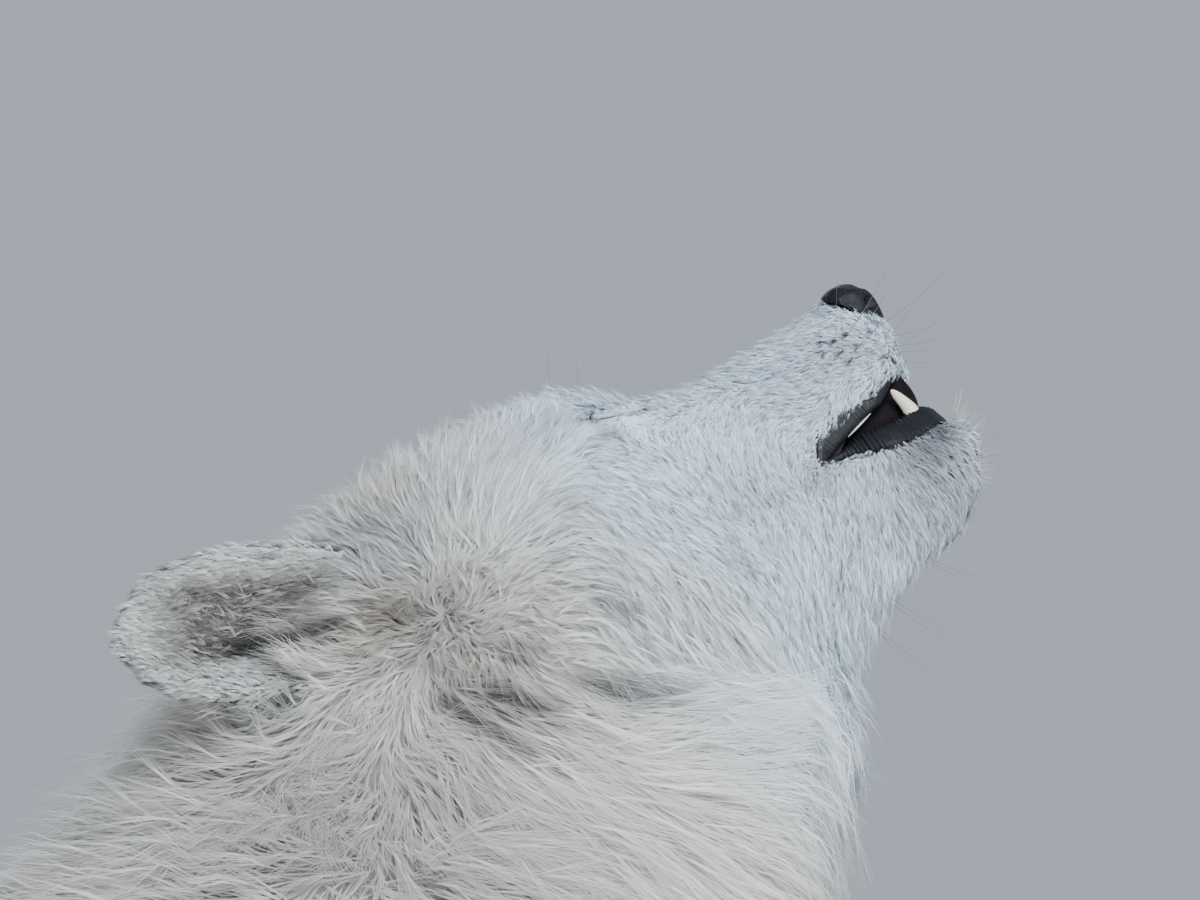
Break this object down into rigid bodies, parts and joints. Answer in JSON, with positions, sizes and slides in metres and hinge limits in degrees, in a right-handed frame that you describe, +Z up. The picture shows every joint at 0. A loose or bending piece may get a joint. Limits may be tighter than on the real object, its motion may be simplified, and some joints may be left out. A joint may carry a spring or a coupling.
{
  "type": "arctic wolf, howling",
  "caption": "Life-size still model of a standing arctic wolf with its head thrown back in a howl, eyes shut and ears laid back.",
  "frame": {"origin": "centre of the bounding box's footprint, on the floor under the soles", "axes": "+X the way the wolf faces, +Y its left, +Z up"},
  "size_m": [1.2788, 0.326, 1.0657],
  "materials": {
    "body_fur": "long cream-white winter coat",
    "face_fur": "short bluish-white fur",
    "ear_fur": "short fur, grey-brown inside",
    "nose_skin": "moist black skin",
    "eyelid": "closed lid with a dark rim"
  },
  "bodies": {
    "root": {"head": "face_fur", "jaw": "face_fur", "neck": "body_fur", "chest": "body_fur", "belly": "body_fur", "rump": "body_fur", "tail": "body_fur", "nose": "nose_skin", "right_ear": "ear_fur", "right_eye": "eyelid", "front_right_upper_leg": "body_fur", "front_right_lower_leg": "body_fur", "front_right_paw": "body_fur", "hind_right_upper_leg": "body_fur", "hind_right_lower_leg": "body_fur", "hind_right_paw": "body_fur", "left_ear": "ear_fur", "left_eye": "eyelid", "front_left_upper_leg": "body_fur", "front_left_lower_leg": "body_fur", "front_left_paw": "body_fur", "hind_left_upper_leg": "body_fur", "hind_left_lower_leg": "body_fur", "hind_left_paw": "body_fur"}
  },
  "joints": []
}
